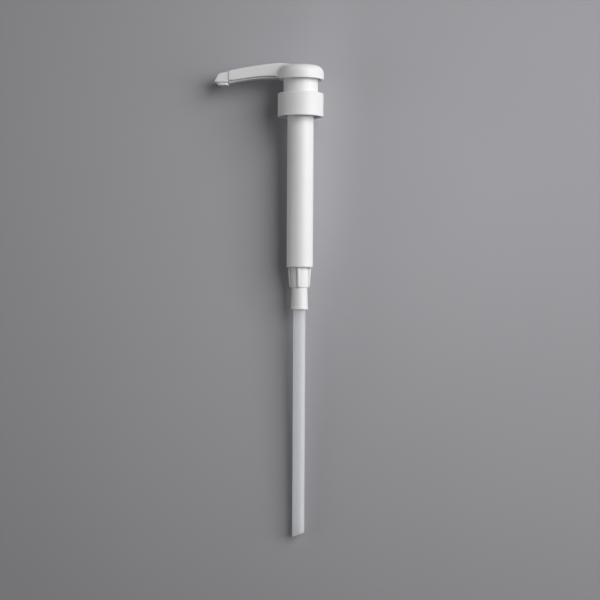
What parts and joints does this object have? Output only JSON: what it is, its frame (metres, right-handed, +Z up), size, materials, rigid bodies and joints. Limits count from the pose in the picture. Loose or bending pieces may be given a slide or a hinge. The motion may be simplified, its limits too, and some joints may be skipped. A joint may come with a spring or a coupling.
{
  "type": "syrup pump",
  "caption": "Hand pump for a syrup bottle: a thumb pad with a curved spout drives a sprung piston in a long barrel, above a screw cap, a foot valve and a slant-cut dip tube.",
  "frame": {"origin": "on the pump's axis, in the plane where the rim of the bottle's neck meets the gasket", "axes": "+Z up along the pump's axis towards the thumb pad, -X out along the spout, +Y to the far side"},
  "size_m": [0.0737, 0.0306, 0.3158],
  "materials": {
    "white_plastic": "satin moulded",
    "natural_plastic": "unpigmented, waxy",
    "clear_tube": "translucent, extruded",
    "seal": "soft",
    "steel": "bright stainless"
  },
  "bodies": {
    "housing": {"barrel": "white_plastic", "foot_valve": "white_plastic", "ball_cage": "natural_plastic", "dip_tube": "clear_tube", "neck_gasket": "seal", "lock_collar": "white_plastic", "stem_wiper": "seal", "return_spring": "steel"},
    "closure": {"screw_cap": "white_plastic"},
    "seal": {"piston": "natural_plastic"},
    "head": {"actuator_head": "white_plastic", "spout_tube": "white_plastic", "nozzle_tip": "white_plastic", "piston_stem": "white_plastic", "piston_retainer": "white_plastic"},
    "inlet_valve": {"inlet_ball": "steel"},
    "outlet_valve": {"outlet_ball": "steel"}
  },
  "joints": [
    {"name": "pump_stroke", "type": "slide", "parent": "housing", "child": "seal", "axis": [0, 0, 1], "range_m": [0, 0.042], "deforming": ["return_spring"]},
    {"name": "head_twist", "type": "hinge", "parent": "seal", "child": "head", "pos_m": [0, 0, 0.0136], "axis": [0, 0, 1], "continuous": true},
    {"name": "cap_spin", "type": "hinge", "parent": "housing", "child": "closure", "pos_m": [0, 0, 0], "axis": [0, 0, 1], "continuous": true},
    {"name": "inlet_ball_lift", "type": "slide", "parent": "housing", "child": "inlet_valve", "axis": [0, 0, 1], "range_m": [0, 0.003]},
    {"name": "outlet_ball_lift", "type": "slide", "parent": "head", "child": "outlet_valve", "axis": [0, 0, 1], "range_m": [0, 0.0025]}
  ]
}
